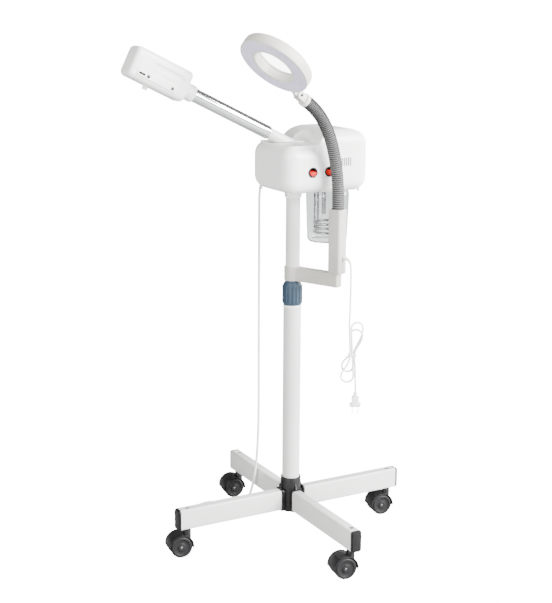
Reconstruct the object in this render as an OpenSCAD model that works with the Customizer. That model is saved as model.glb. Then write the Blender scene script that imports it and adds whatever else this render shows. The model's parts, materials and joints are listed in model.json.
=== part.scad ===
// Facial steamer on a wheeled stand, with a magnifier ring lamp.
// Units are millimetres, +Z is up, the origin is on the floor under the column.

/* [Stand] */
// Distance from the column axis to each caster stem
stem_radius = 265; // [220:5:290]
// Height of a leg tube
leg_height = 48; // [42:1:54]
// Width of a leg tube
leg_width = 25; // [22:1:32]
// Height of the leg tops above the floor
leg_top = 110; // [106:1:120]
// Diameter of a caster wheel
wheel_diameter = 50; // [46:1:52]
// Direction the casters trail towards, seen from above
caster_angle = 172; // [0:1:359]

/* [Column] */
// Outside diameter of the lower column
lower_diameter = 40; // [38:1:44]
// Outside diameter of the sliding mast
mast_diameter = 32; // [28:0.5:32.5]
// Height of the top of the lower column
lower_top = 541; // [500:1:560]
// Width across the ribs of the clamp nut
nut_diameter = 45.4; // [44:0.2:52]

/* [Steamer head] */
// Width of the housing
head_width = 210; // [200:1:220]
// Depth of the housing
head_depth = 168; // [156:1:180]
// Radius of the upright corners
head_corner = 30; // [26:1:36]
// Height of the underside
head_bottom = 805; // [800:1:812]
// Height of the shoulder beside the dome
shoulder_top = 912; // [906:1:918]
// Height of the dome
dome_top = 941; // [936:1:956]
// Outside diameter of the glass jar
jar_diameter = 98; // [90:1:102]
// Height of the bottom of the jar
jar_bottom = 685; // [680:1:700]
// Distance between the two switches
switch_spacing = 41; // [34:1:44]

/* [Steam arm] */
// Slope of the steam arm above the horizontal
arm_slope = 26; // [15:1:35]
// Outside diameter of the chrome tube
tube_diameter = 26.8; // [25:0.2:27]
// Distance along the arm to the start of the nozzle head
nozzle_start = 269; // [230:1:300]
// Length of the nozzle head
nozzle_length = 158; // [130:1:180]

/* [Lamp] */
// Direction of the bracket arm, seen from above
bracket_angle = -65.5; // [-75:0.5:-62]
// Distance from the mast axis to the lamp post
post_distance = 119; // [117:1:126]
// Height of the top of the lamp post
post_top = 774; // [760:1:780]
// Diameter of the gooseneck
gooseneck_diameter = 27; // [22:0.2:28]
// Direction the gooseneck leans towards, seen from above
lean_angle = 194; // [185:1:205]
// Outside diameter of the ring lamp
ring_diameter = 156; // [150:1:172]
// Diameter of the clear lens
lens_diameter = 90; // [84:1:96]

/* [Cords] */
// Diameter of the steamer's mains cord
mains_cord = 6; // [5.6:0.1:6.2]
// Diameter of the lamp cord
lamp_cord = 4.2; // [4:0.1:4.4]

/* [Output] */
// Sub-part to draw

/* [Hidden] */
$fn = 64;
gap = 0.3;
leg_mid = leg_top - leg_height / 2;
leg_end = stem_radius + 19;
leg_start = 30;
leg_wall = 1.5;
wheel_r = wheel_diameter / 2;
trail = 17.5;
wheel_width = 16.5;
web_half = 3.6;
lower_r = lower_diameter / 2;
mast_r = mast_diameter / 2;
fit = 0.06;
nut_low = lower_top + 6;
nut_high = nut_low + 55.5;
bracket_low = nut_high + 0.5;
bracket_tall = 31;
bracket_high = bracket_low + bracket_tall;
head_x = 41.5;
head_left = head_x - head_width / 2;
head_right = head_x + head_width / 2;
head_front = -head_depth / 2;
skin = 2.6;
jar_x = 88;
jar_r = jar_diameter / 2;
jar_wall = 3;
jar_rim = 822;
pocket_r = jar_r + 10;
pocket_top = 836;
switch_z = 853;
switch_x = [0, switch_spacing];
bezel_r = 11.4;
arm_z = 902;
tube_r = tube_diameter / 2;
tube_bore = tube_r - 1;
tube_start = 59;
nozzle_end = nozzle_start + nozzle_length;
nozzle_half = 33;
nozzle_wide = 27;
post_x = post_distance * cos(bracket_angle);
post_y = post_distance * sin(bracket_angle);
neck_r = gooseneck_diameter / 2;
ring_r = ring_diameter / 2;
lens_r = lens_diameter / 2;
ring_tilt = -42.7;
ring_thick = 25;
pivot_back = -92;
// each entry is a length along the gooseneck and the angle it bends through
bends = [[22, 0], [60, 10], [50, 8], [46, 11], [47, 17.5], [43, 14]];
pivot_at = [119, 0, 1022.5];
ring_at = [
    pivot_at[0] - pivot_back * cos(ring_tilt),
    0,
    pivot_at[2] + pivot_back * sin(ring_tilt)
];

// ---- helpers ----

module ring_tube(outer, inner, height) {
    difference() {
        cylinder(r = outer, h = height);
        translate([0, 0, -1])
            cylinder(r = inner, h = height + 2);
    }
}

module rounded_square(wide, deep, corner) {
    square([wide - 2 * corner, deep], center = true);
    square([wide, deep - 2 * corner], center = true);
    for (x = [-1, 1], y = [-1, 1])
        translate([x * (wide / 2 - corner), y * (deep / 2 - corner)])
            circle(r = corner);
}

module along_leg(turn) {
    rotate([0, 0, turn])
        children();
}

module at_arm() {
    translate([0, 0, arm_z])
        rotate([0, 0, 180])
            rotate([0, -arm_slope, 0])
                children();
}

module at_bracket() {
    rotate([0, 0, bracket_angle])
        children();
}

module at_lean() {
    translate([post_x, post_y, 0])
        rotate([0, 0, lean_angle])
            children();
}

module at_ring() {
    at_lean()
        translate(ring_at)
            rotate([0, ring_tilt, 0])
                children();
}

function bend_point(i) =
    i == 0 ? [0, post_top] :
    let (
        p = bend_point(i - 1),
        a = bend_angle(i - 1),
        len = bends[i - 1][0],
        turn = bends[i - 1][1],
        chord = turn == 0 ? len : 2 * len * sin(turn / 2) / (turn * PI / 180)
    )
    [p[0] + chord * sin(a + turn / 2), p[1] + chord * cos(a + turn / 2)];

function bend_angle(i) = i == 0 ? 0 : bend_angle(i - 1) + bends[i - 1][1];

neck_end = bend_point(len(bends));
neck_angle = bend_angle(len(bends));

// ---- stand ----

module hub() {
    color("black")
    difference() {
        union() {
            translate([0, 0, leg_mid - leg_height / 2 - 4])
                cylinder(r = lower_r + 3.2, h = 139 - leg_mid + leg_height / 2 + 4);
            for (turn = [0:90:270])
                along_leg(turn) {
                    translate([leg_start - 5, 0, leg_mid])
                        rotate([90, 0, 90])
                            linear_extrude(height = 4.8)
                                rounded_square(leg_width + 4, leg_height + 4, 4);
                    translate([12, 0, leg_mid])
                        rotate([90, 0, 90])
                            linear_extrude(height = 62)
                                rounded_square(leg_width - 3.2, leg_height - 3.2, 4);
                    translate([lower_r, -2, leg_top])
                        rotate([90, 0, 0])
                            translate([0, 0, -4])
                                linear_extrude(height = 4)
                                    polygon([[0, 0], [9, 1.8], [3, 24], [0, 24]]);
                }
        }
        translate([0, 0, leg_mid - 12])
            cylinder(r = lower_r + 0.05, h = 100);
        translate([0, 0, 0])
            cylinder(r = 5.2, h = 100);
        for (turn = [0:90:270])
            along_leg(turn)
                translate([55, 0, 0])
                    cylinder(r = 2.6, h = leg_mid);
    }
}

module leg(turn) {
    color("whitesmoke")
    along_leg(turn)
        difference() {
            translate([leg_start, 0, leg_mid])
                rotate([90, 0, 90])
                    linear_extrude(height = leg_end - leg_start)
                        difference() {
                            rounded_square(leg_width, leg_height, 5);
                            rounded_square(leg_width - 2 * leg_wall, leg_height - 2 * leg_wall, 3.6);
                        }
            translate([stem_radius, 0, leg_top - leg_height - 1])
                cylinder(r = 5.6, h = leg_height + 2);
            translate([55, 0, leg_top - leg_height - 1])
                cylinder(r = 2.8, h = 10);
        }
}

module leg_right() {
    leg(0);
}

module leg_back() {
    leg(90);
}

module leg_left() {
    leg(180);
}

module leg_front() {
    leg(270);
}

module leg_caps() {
    color("black")
    for (turn = [0:90:270])
        along_leg(turn)
            difference() {
                union() {
                    translate([leg_end + 0.1, 0, leg_mid])
                        rotate([90, 0, 90])
                            linear_extrude(height = 4)
                                rounded_square(leg_width, leg_height, 5);
                    translate([leg_end + 4, 0, leg_mid])
                        rotate([90, 0, 90])
                            linear_extrude(height = 2.4)
                                rounded_square(leg_width - 4, leg_height - 4, 4);
                    translate([leg_end - 42, 0, leg_mid])
                        rotate([90, 0, 90])
                            linear_extrude(height = 43)
                                rounded_square(leg_width - 3.4, leg_height - 3.4, 3.4);
                }
                translate([stem_radius, 0, 0])
                    cylinder(r = 5.06, h = leg_top + 10);
            }
}

module base_screws() {
    color("silver") {
        for (turn = [0:90:270])
            along_leg(turn)
                translate([55, 0, leg_top - leg_height - 2.2]) {
                    cylinder(r = 4.6, h = 2.2);
                    cylinder(r = 2.4, h = 14);
                }
        translate([0, 0, leg_mid - leg_height / 2 - 9.5]) {
            cylinder(r = 9, h = 5.4, $fn = 6);
            cylinder(r = 5, h = 44);
        }
    }
}

module lower_column() {
    color("whitesmoke")
    translate([0, 0, leg_mid - 12 + 0.1])
        ring_tube(lower_r, lower_r - 1.6, lower_top - leg_mid + 11.9);
}

module column_collar() {
    color("whitesmoke")
    difference() {
        union() {
            translate([0, 0, lower_top - 36])
                cylinder(r = lower_r - 1.65, h = 37);
            translate([0, 0, lower_top + 0.05])
                cylinder(r = lower_r + 0.6, h = 5.6);
            translate([0, 0, lower_top + 4])
                cylinder(r = lower_r - 1.4, h = 30);
        }
        translate([0, 0, lower_top - 40])
            cylinder(r = mast_r + fit, h = 90);
    }
}

module collet() {
    color("dimgray")
    difference() {
        translate([0, 0, lower_top + 34.3])
            ring_tube(mast_r + 2.6, mast_r + fit, 14);
        translate([0, -1, lower_top + 30])
            cube([40, 2, 30]);
    }
}

module clamp_nut() {
    color("slategray")
    difference() {
        union() {
            translate([0, 0, nut_low])
                rotate_extrude()
                    polygon([
                        [0, 0], [nut_diameter / 2 - 3, 0], [nut_diameter / 2 - 1.2, 3.5],
                        [nut_diameter / 2 - 1.2, 46], [nut_diameter / 2 - 5, 55.5], [0, 55.5]
                    ]);
            for (turn = [0:30:330])
                rotate([0, 0, turn])
                    translate([nut_diameter / 2 - 2.2, -2.6, nut_low + 4])
                        cube([2.1, 5.2, 40]);
        }
        translate([0, 0, nut_low - 1])
            cylinder(r = lower_r - 1.1, h = 29.5);
        translate([0, 0, nut_low])
            cylinder(r = mast_r + 2.95, h = 43.4);
        translate([0, 0, nut_low])
            cylinder(r = mast_r + 0.5, h = 70);
    }
}

// ---- casters: the stem is on the local Z axis and the wheels trail towards -X ----

module at_caster(turn) {
    rotate([0, 0, turn])
        translate([stem_radius, 0, 0])
            rotate([0, 0, caster_angle - 180 - turn])
                children();
}

module caster_hood(turn) {
    color("black")
    at_caster(turn)
        difference() {
            union() {
                difference() {
                    union() {
                        translate([-trail, 0, wheel_r])
                            rotate([90, 0, 0])
                                difference() {
                                    cylinder(r = wheel_r + 3.2, h = 42, center = true);
                                    translate([-60, -60 - 3, -30])
                                        cube([120, 60, 60]);
                                }
                        cylinder(r = 9, h = 59);
                    }
                    translate([-trail, 0, wheel_r])
                        rotate([90, 0, 0])
                            cylinder(r = wheel_r + 0.9, h = 60, center = true);
                    translate([-20, -30, -1])
                        cube([60, 60, wheel_r - 2]);
                }
                translate([-trail, 0, wheel_r])
                    rotate([90, 0, 0])
                        difference() {
                            cylinder(r = wheel_r + 1.5, h = 2 * web_half, center = true);
                            translate([-60, -60 - 9, -30])
                                cube([120, 60, 60]);
                        }
            }
            translate([-trail, 0, wheel_r])
                rotate([90, 0, 0])
                    cylinder(r = 3.02, h = 30, center = true);
            translate([0, 0, 36])
                cylinder(r = 5.02, h = 40);
        }
}

module caster_pins(turn) {
    color("silver")
    at_caster(turn) {
        translate([0, 0, 44])
            cylinder(r = 5, h = leg_top - 44 - 1);
        translate([-trail, 0, wheel_r])
            rotate([90, 0, 0])
                cylinder(r = 3, h = 38, center = true);
    }
}

module caster_wheels(turn) {
    color("black")
    at_caster(turn)
        translate([-trail, 0, wheel_r])
            for (side = [0, 180])
                rotate([0, 0, side])
                    rotate([-90, 0, 0])
                        translate([0, 0, web_half + 0.6])
                            rotate_extrude()
                                polygon([
                                    [3.08, 0], [wheel_r - 1.5, 0], [wheel_r, 1.5],
                                    [wheel_r, wheel_width - 3], [wheel_r - 3, wheel_width],
                                    [wheel_r - 7, wheel_width], [wheel_r - 8, wheel_width - 2.5],
                                    [9, wheel_width - 2.5], [8, wheel_width], [3.08, wheel_width]
                                ]);
}

module caster_right_hood() {
    caster_hood(0);
}

module caster_right_pins() {
    caster_pins(0);
}

module caster_right_wheels() {
    caster_wheels(0);
}

module caster_back_hood() {
    caster_hood(90);
}

module caster_back_pins() {
    caster_pins(90);
}

module caster_back_wheels() {
    caster_wheels(90);
}

module caster_left_hood() {
    caster_hood(180);
}

module caster_left_pins() {
    caster_pins(180);
}

module caster_left_wheels() {
    caster_wheels(180);
}

module caster_front_hood() {
    caster_hood(270);
}

module caster_front_pins() {
    caster_pins(270);
}

module caster_front_wheels() {
    caster_wheels(270);
}

// ---- mast and steamer head ----

module upper_column() {
    color("whitesmoke")
    translate([0, 0, 150])
        ring_tube(mast_r, mast_r - 1.5, 700);
}

module column_socket() {
    color("whitesmoke")
    difference() {
        union() {
            translate([0, 0, head_bottom - 16])
                cylinder(r1 = mast_r + 2.2, r2 = mast_r + 3.6, h = 10);
            translate([0, 0, head_bottom - 6])
                cylinder(r = mast_r + 3.6, h = 50);
            translate([0, 0, head_bottom + 7.85])
                cylinder(r = 30, h = 5);
        }
        translate([0, 0, head_bottom - 20])
            cylinder(r = mast_r + 0.03, h = 90);
    }
}

module head_plan(inset, height) {
    linear_extrude(height = height)
        rounded_square(head_width - 2 * inset, head_depth - 2 * inset, head_corner - inset);
}

module housing_base() {
    color("white")
    difference() {
        union() {
            translate([head_x, 0, head_bottom + 3])
                head_plan(0, 4.8);
            translate([head_x, 0, head_bottom + 1])
                head_plan(1.2, 2.2);
            translate([head_x, 0, head_bottom])
                head_plan(3, 1.2);
            translate([jar_x, 0, head_bottom])
                cylinder(r = pocket_r - 4.7, h = pocket_top - head_bottom + 3);
        }
        translate([jar_x, 0, head_bottom - 1])
            cylinder(r = pocket_r - 6.6, h = 14);
        difference() {
            translate([jar_x, 0, head_bottom - 1])
                cylinder(r = pocket_r - 6.6, h = pocket_top - head_bottom + 1);
            translate([jar_x, 0, jar_rim + 1])
                cylinder(r = jar_r - 2.4, h = 40);
        }
        translate([jar_x, 0, head_bottom - 1])
            cylinder(r = jar_r - 5, h = 60);
        translate([0, 0, head_bottom - 1])
            cylinder(r = mast_r + 3.8, h = 20);
        for (x = [head_left + 16, head_right - 16], y = [-60, 60])
            translate([x, y, head_bottom - 1])
                cylinder(r = 2.2, h = 12);
    }
}

module corner_stack(inset, x, y, low, high, round) {
    translate([x, y, high - round])
        sphere(r = round - inset, $fn = 32);
    translate([x, y, low])
        cylinder(r = round - inset, h = 1, $fn = 32);
}

module head_form(inset) {
    hull()
        for (x = [head_left + head_corner, head_right - head_corner])
            for (y = [-1, 1] * (head_depth / 2 - head_corner))
                corner_stack(inset, x, y, head_bottom + 8 - inset, shoulder_top, head_corner);
    difference() {
        hull()
            for (y = [-1, 1]) {
                corner_stack(inset, 44, y * (head_depth / 2 - 34), 870, dome_top, 34);
                corner_stack(inset, head_right - 44, y * (head_depth / 2 - 44), 870, dome_top, 44);
            }
        translate([0, 0, shoulder_top - inset])
            cylinder(r = 39 + inset, h = 60);
        translate([-60, -100, 840])
            cube([60, 200, shoulder_top - inset - 840]);
    }
}

module housing_shell() {
    color("white")
    difference() {
        head_form(0);
        head_form(skin);
        translate([0, 0, shoulder_top - 10])
            cylinder(r = 24.3, h = 20);
        for (x = switch_x)
            translate([x, head_front + 10, switch_z])
                rotate([90, 0, 0])
                    cylinder(r = bezel_r - 1.8, h = 20);
        for (i = [0:7])
            translate([58 + 5.8 * i - 1.2, head_front - 5, 862])
                cube([2.4, 20, 19]);
        translate([-17, head_depth / 2 - 10, 822])
            rotate([-90, 0, 0])
                cylinder(r = 6.3, h = 20);
        translate([-100, -100, head_bottom])
            cube([300, 200, 8]);
    }
}

module housing_screws() {
    color("silver")
    for (x = [head_left + 16, head_right - 16], y = [-60, 60])
        translate([x, y, head_bottom - 1.6]) {
            cylinder(r = 3.6, h = 1.6);
            cylinder(r = 2, h = 16);
        }
}

module switch_bezels() {
    color("black")
    for (x = switch_x)
        translate([x, head_front, switch_z])
            rotate([90, 0, 0])
                difference() {
                    union() {
                        cylinder(r = bezel_r, h = 2);
                        translate([0, 0, -22])
                            cylinder(r = bezel_r - 2, h = 22.5);
                    }
                    translate([0, 0, -10])
                        cylinder(r = 8.5, h = 20);
                }
}

module rocker(x) {
    color("red")
    translate([x, head_front, switch_z])
        rotate([90, 0, 0])
            difference() {
                translate([0, 0, -4])
                    cylinder(r = 7.6, h = 8);
                translate([0, 24, 8.5])
                    rotate([0, 90, 0])
                        cylinder(r = 24, h = 40, center = true);
            }
    color("red")
    translate([x, head_front, switch_z])
        rotate([0, 90, 0])
            cylinder(r = 1.5, h = 16.6, center = true);
}

module rocker_left() {
    rocker(switch_x[0]);
}

module rocker_right() {
    rocker(switch_x[1]);
}

module control_board() {
    color("green")
    translate([4, 66, 846])
        cube([84, 1.6, 44]);
    color("dimgray") {
        translate([10, 48, 850])
            cube([26, 18.5, 22]);
        translate([44, 54, 852])
            cube([14, 12.5, 12]);
        translate([66, 56, 866])
            cube([10, 10.5, 16]);
    }
}

module bent_tube(outer, inner, bend_radius, turn) {
    rotate_extrude(angle = turn)
        translate([bend_radius, 0])
            difference() {
                circle(r = outer);
                circle(r = inner);
            }
}

module steam_duct() {
    color("lightgray") {
        translate([jar_x, 0, pocket_top + 6.2])
            ring_tube(9, 7.5, 3);
        translate([jar_x - 24, 0, pocket_top + 9.2])
            rotate([90, 0, 0])
                bent_tube(9, 7.5, 24, 90);
        translate([24, 0, pocket_top + 33.2])
            rotate([0, 90, 0])
                ring_tube(9, 7.5, jar_x - 48);
        translate([24, 0, pocket_top + 55.2])
            rotate([90, 0, 0])
                rotate([0, 0, 180])
                    bent_tube(9, 7.5, 22, 90);
        translate([2, 0, pocket_top + 55.2])
            ring_tube(9, 7.5, 0.6);
    }
}

module heater() {
    color("silver") {
        difference() {
            translate([jar_x, 0, pocket_top + 3.1])
                cylinder(r = 46, h = 3);
            translate([jar_x, 0, pocket_top])
                cylinder(r = 7.5, h = 10);
        }
        difference() {
            translate([jar_x, 0, jar_rim + 4])
                cylinder(r = jar_r - 5.2, h = pocket_top - jar_rim - 0.8);
            translate([jar_x, 0, jar_rim + 3])
                cylinder(r = jar_r - 7.2, h = pocket_top - jar_rim + 3);
        }
        for (y = [-7, 7])
            translate([jar_x - 28, y, 716])
                cylinder(r = 2.6, h = pocket_top + 4 - 716);
        translate([jar_x - 22, -22, 750])
            cylinder(r = 5, h = pocket_top + 4 - 750);
        for (z = [706, 716, 726])
            translate([jar_x, 0, z])
                rotate_extrude()
                    translate([29, 0])
                        circle(r = 3);
        for (z = [706, 716])
            translate([jar_x + 29, 0, z])
                cylinder(r = 2.4, h = 10);
    }
}

module jar() {
    color("lightblue", 0.4)
    translate([jar_x, 0, 0])
        rotate_extrude()
            polygon([
                [0, jar_bottom], [jar_r - 10, jar_bottom], [jar_r - 6, jar_bottom + 2],
                [jar_r - 4.2, jar_bottom + 7], [jar_r - 0.6, 790], [jar_r - 1.6, 797],
                [jar_r - 6.8, 803], [jar_r - 6.8, jar_rim - 4.2], [jar_r - 2.6, jar_rim - 4.2],
                [jar_r - 2.6, jar_rim], [jar_r - 10, jar_rim], [jar_r - 10, 802],
                [jar_r - 4.6, 795], [jar_r - 3.6, 790], [jar_r - 7.4, jar_bottom + 8],
                [jar_r - 10, jar_bottom + 4], [0, jar_bottom + 4]
            ]);
}

module jar_collar() {
    color("white")
    translate([jar_x, 0, 0])
        rotate_extrude()
            polygon([
                [jar_r - 6.4, 806], [jar_r + 1, 806], [jar_r + 1, 832],
                [jar_r - 2, 832], [jar_r - 2, jar_rim - 4.5], [jar_r - 6.4, jar_rim - 4.5]
            ]);
}

module cord_gland() {
    color("white")
    translate([-17, head_depth / 2, 822])
        rotate([-90, 0, 0]) {
            difference() {
                union() {
                    cylinder(r = 8.5, h = 3);
                    translate([0, 0, -12])
                        cylinder(r = 6.1, h = 13);
                    translate([0, 0, 2.9])
                        cylinder(r1 = 6.2, r2 = 5, h = 9);
                }
                translate([0, 0, -20])
                    cylinder(r = mains_cord / 2 + 0.1, h = 40);
            }
        }
}

// ---- steam arm ----

module arm_turret() {
    color("white")
    difference() {
        union() {
            translate([0, 0, shoulder_top - 17])
                cylinder(r = 24, h = 18);
            translate([0, 0, shoulder_top - 16])
                cylinder(r = 27, h = 13);
            translate([0, 0, shoulder_top + 0.4])
                cylinder(r = 27, h = 1.4);
            at_arm()
                rotate([0, 90, 0])
                    cylinder(r = tube_bore - 0.05, h = tube_start + 24);
        }
        translate([0, 0, shoulder_top - 60])
            cylinder(r = 60, h = 43);
        translate([0, 0, shoulder_top - 3])
            ring_tube(60, 24, 3.35);
        translate([0, 0, shoulder_top - 18])
            ring_tube(60, 27.02, 15.5);
        translate([0, 0, shoulder_top - 20])
            cylinder(r = 8, h = 15);
        at_arm()
            rotate([0, 90, 0])
                cylinder(r = 8, h = tube_start + 40);
    }
}

module arm_tube() {
    color("silver")
    at_arm()
        translate([tube_start, 0, 0])
            rotate([0, 90, 0])
                ring_tube(tube_r, tube_bore, nozzle_start + 16 - tube_start);
}

module nozzle_box(inset, low, high) {
    intersection() {
        rotate([90, 0, 0])
            linear_extrude(height = 80, center = true)
                polygon([
                    [low, inset - 24], [low, 32 - inset], [low + 6, 37 - inset],
                    [high - 12, 38 - inset], [high - 3, 34 - inset], [high, 28 - inset],
                    [high, inset - 20], [high - 5, inset - 26], [high - 12, inset - 28],
                    [low + 4, inset - 28]
                ]);
        translate([low, 0, 5])
            rotate([90, 0, 90])
                linear_extrude(height = high - low)
                    rounded_square(2 * nozzle_wide - 2 * inset, 2 * nozzle_half + 2 - 2 * inset, 13 - inset);
    }
}

module nozzle_body() {
    color("white")
    at_arm()
        difference() {
            union() {
                translate([nozzle_start, 0, 0])
                    rotate([0, 90, 0])
                        cylinder(r = tube_r + 3.6, h = 26);
                nozzle_box(0, nozzle_start + 24, nozzle_end - 18);
            }
            nozzle_box(2.4, nozzle_start + 27, nozzle_end + 10);
            translate([nozzle_start - 1, 0, 0])
                rotate([0, 90, 0])
                    cylinder(r = tube_r + 0.05, h = 30);
            translate([nozzle_start + 40, nozzle_wide - 0.8, 8])
                cube([74, 5.8, 13]);
            translate([nozzle_end - 42, nozzle_wide - 5, -11.3])
                cube([16, 10, 4.6]);
            translate([nozzle_end - 62, -4, -40])
                cube([22, 8, 20]);
            for (x = [58, 116])
                translate([nozzle_start + x, nozzle_wide + 1, -12])
                    rotate([90, 0, 0])
                        cylinder(r = 1.9, h = 6);
        }
}

module nozzle_cap() {
    color("white")
    at_arm()
        difference() {
            nozzle_box(0, nozzle_end - 17.8, nozzle_end);
            nozzle_box(2.4, nozzle_end - 20, nozzle_end - 2.4);
        }
}

module nozzle_lever() {
    color("white")
    at_arm()
        difference() {
            union() {
                translate([nozzle_end - 60, -3.6, -36])
                    cube([10, 7.2, 14]);
                translate([nozzle_end - 62, -8, -25])
                    cube([14, 16, 2.4]);
            }
            translate([nozzle_end - 80, -20, -60])
                cube([60, 40, 22]);
        }
}

module nozzle_screws() {
    color("dimgray")
    at_arm()
        for (x = [58, 116])
            translate([nozzle_start + x, nozzle_wide + 0.8, -12])
                rotate([90, 0, 0]) {
                    cylinder(r = 3.2, h = 0.8);
                    cylinder(r = 1.8, h = 4);
                }
}

// ---- lamp ----

module lamp_bracket() {
    color("gainsboro")
    at_bracket()
        translate([0, 0, bracket_low])
            difference() {
                union() {
                    cylinder(r = mast_r + 2.7, h = bracket_tall);
                    translate([(post_distance + 7) / 2, 0, 0])
                        linear_extrude(height = bracket_tall)
                            rounded_square(post_distance + 7, 20, 3);
                }
                translate([0, 0, -1])
                    cylinder(r = mast_r + fit, h = 40);
                translate([post_distance, 0, 3])
                    cylinder(r = 2.6, h = 40);
            }
}

module lamp_post() {
    color("gainsboro")
    at_bracket()
        translate([post_distance, 0, bracket_high])
            difference() {
                linear_extrude(height = post_top - bracket_high)
                    rounded_square(32, 30, 6);
                translate([0, 0, 4])
                    linear_extrude(height = post_top - bracket_high - 8)
                        rounded_square(27, 25, 4);
                translate([0, 0, -1])
                    cylinder(r = 2.6, h = 6);
                translate([0, 0, post_top - bracket_high - 5])
                    cylinder(r = neck_r - 4, h = 10);
                translate([0, 0, 35])
                    rotate([0, 90, 0])
                        cylinder(r = 4, h = 30);
            }
}

function gooseneck_step(i, t) =
    let (
        p = bend_point(i),
        a = bend_angle(i),
        len = bends[i][0] * t,
        turn = bends[i][1] * t,
        chord = turn == 0 ? len : 2 * len * sin(turn / 2) / (turn * PI / 180)
    )
    [p[0] + chord * sin(a + turn / 2), 0, p[1] + chord * cos(a + turn / 2)];

gooseneck_path = concat(
    [for (i = [0:len(bends) - 1], s = [0:4]) gooseneck_step(i, s / 5)],
    [[neck_end[0], 0, neck_end[1]]]
);

module gooseneck() {
    color("gray")
    at_lean()
        swept_tube(gooseneck_path, gooseneck_diameter, 28);
}

module neck_ear() {
    rotate([90, 0, 0])
        linear_extrude(height = 4.4) {
            translate([pivot_at[0], pivot_at[2]])
                circle(r = 8.5);
            translate(neck_end)
                rotate(atan2(pivot_at[2] - neck_end[1], pivot_at[0] - neck_end[0]))
                    translate([4, -8.5])
                        square([norm([pivot_at[0], pivot_at[2]] - neck_end) - 4, 17]);
        }
}

module lamp_neck() {
    color("gainsboro")
    at_lean()
        difference() {
            union() {
                translate([neck_end[0], 0, neck_end[1]])
                    rotate([0, neck_angle, 0])
                        translate([0, 0, 0.6])
                            cylinder(r = neck_r + 0.2, h = 8.4);
                translate([0, -4.4, 0])
                    neck_ear();
                translate([0, 8.8, 0])
                    neck_ear();
            }
            translate([pivot_at[0], 0, pivot_at[2]])
                rotate([90, 0, 0])
                    cylinder(r = 3.02, h = 40, center = true);
        }
}

module neck_screw() {
    color("dimgray")
    at_lean()
        translate([pivot_at[0], 0, pivot_at[2]])
            rotate([90, 0, 0]) {
                cylinder(r = 3, h = 20, center = true);
                translate([0, 0, 8.9])
                    cylinder(r = 5, h = 2.4);
            }
}

module ring_shell() {
    color("ivory")
    at_ring()
        difference() {
            union() {
                rotate_extrude()
                    polygon([
                        [lens_r - 2, -6], [ring_r - 1.4, -6], [ring_r, -4.4], [ring_r, 13],
                        [ring_r - 2.5, 17.5], [ring_r - 8, 19], [lens_r + 6, 19],
                        [lens_r + 1.5, 18], [lens_r - 1.2, 16.4], [lens_r - 1.2, 14.2],
                        [lens_r + 0.1, 14.2], [lens_r + 0.1, 11], [lens_r - 2, 11]
                    ]);
                translate([pivot_back, 4, 0])
                    rotate([90, 0, 0])
                        linear_extrude(height = 8) {
                            circle(r = 7.5);
                            translate([0, -7.5])
                                square([14.8, 15]);
                        }
            }
            rotate_extrude()
                polygon([
                    [lens_r + 3, -3.3], [ring_r - 3, -3.3], [ring_r - 3, 12], [ring_r - 8, 16.4],
                    [lens_r + 6, 16.4], [lens_r + 3, 14]
                ]);
            rotate_extrude()
                polygon([
                    [lens_r + 3, -7], [ring_r - 3, -7], [ring_r - 3, -3], [lens_r + 3, -3]
                ]);
            translate([pivot_back, 0, 0])
                rotate([90, 0, 0])
                    cylinder(r = 3.05, h = 40, center = true);
        }
}

module ring_diffuser() {
    color("lavender")
    at_ring()
        translate([0, 0, -5.6])
            ring_tube(ring_r - 3.1, lens_r + 3.1, 2.2);
}

module led_board() {
    color("white")
    at_ring() {
        translate([0, 0, 6])
            ring_tube(ring_r - 3.2, lens_r + 3.2, 1.6);
        for (turn = [0:20:340])
            rotate([0, 0, turn])
                translate([(ring_r + lens_r) / 2, 0, 4.6])
                    translate([-2.5, -2.5, 0])
                        cube([5, 5, 1.5]);
    }
}

function lens_rise(r) = 4.7 - 300 + sqrt(300 * 300 - r * r);

module ring_lens() {
    color("lightblue", 0.4)
    at_ring()
        rotate_extrude()
            polygon(concat(
                [for (i = [0:8]) [lens_r * i / 8, 12.5 + lens_rise(lens_r * i / 8)]],
                [for (i = [8:-1:0]) [lens_r * i / 8, 12.5 - lens_rise(lens_r * i / 8)]]
            ));
}

// ---- cords ----

module swept_tube(path, width, sides) {
    rings = len(path);
    side_to = [0.6, 0.8, 0];
    points = [
        for (i = [0:rings - 1])
            let (
                before = path[max(i - 1, 0)],
                after = path[min(i + 1, rings - 1)],
                along = (after - before) / norm(after - before),
                flat = cross(along, side_to),
                across = flat / norm(flat),
                other = cross(along, across)
            )
            for (j = [0:sides - 1])
                path[i] + width / 2 * (across * cos(360 * j / sides) + other * sin(360 * j / sides))
    ];
    faces = concat(
        [[for (j = [0:sides - 1]) j]],
        [
            for (i = [0:rings - 2], j = [0:sides - 1])
                let (k = (j + 1) % sides)
                [i * sides + j, (i + 1) * sides + j, (i + 1) * sides + k, i * sides + k]
        ],
        [[for (j = [sides - 1:-1:0]) (rings - 1) * sides + j]]
    );
    polyhedron(points = points, faces = faces, convexity = 8);
}

function blend_point(p, i, t) =
    let (a = p[max(i - 1, 0)], b = p[i], c = p[i + 1], d = p[min(i + 2, len(p) - 1)])
    0.5 * (2 * b + (c - a) * t + (2 * a - 5 * b + 4 * c - d) * t * t
        + (3 * b - a - 3 * c + d) * t * t * t);

function smooth_route(p, steps) = concat(
    [for (i = [0:len(p) - 2], s = [0:steps - 1]) blend_point(p, i, s / steps)],
    [p[len(p) - 1]]
);

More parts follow.
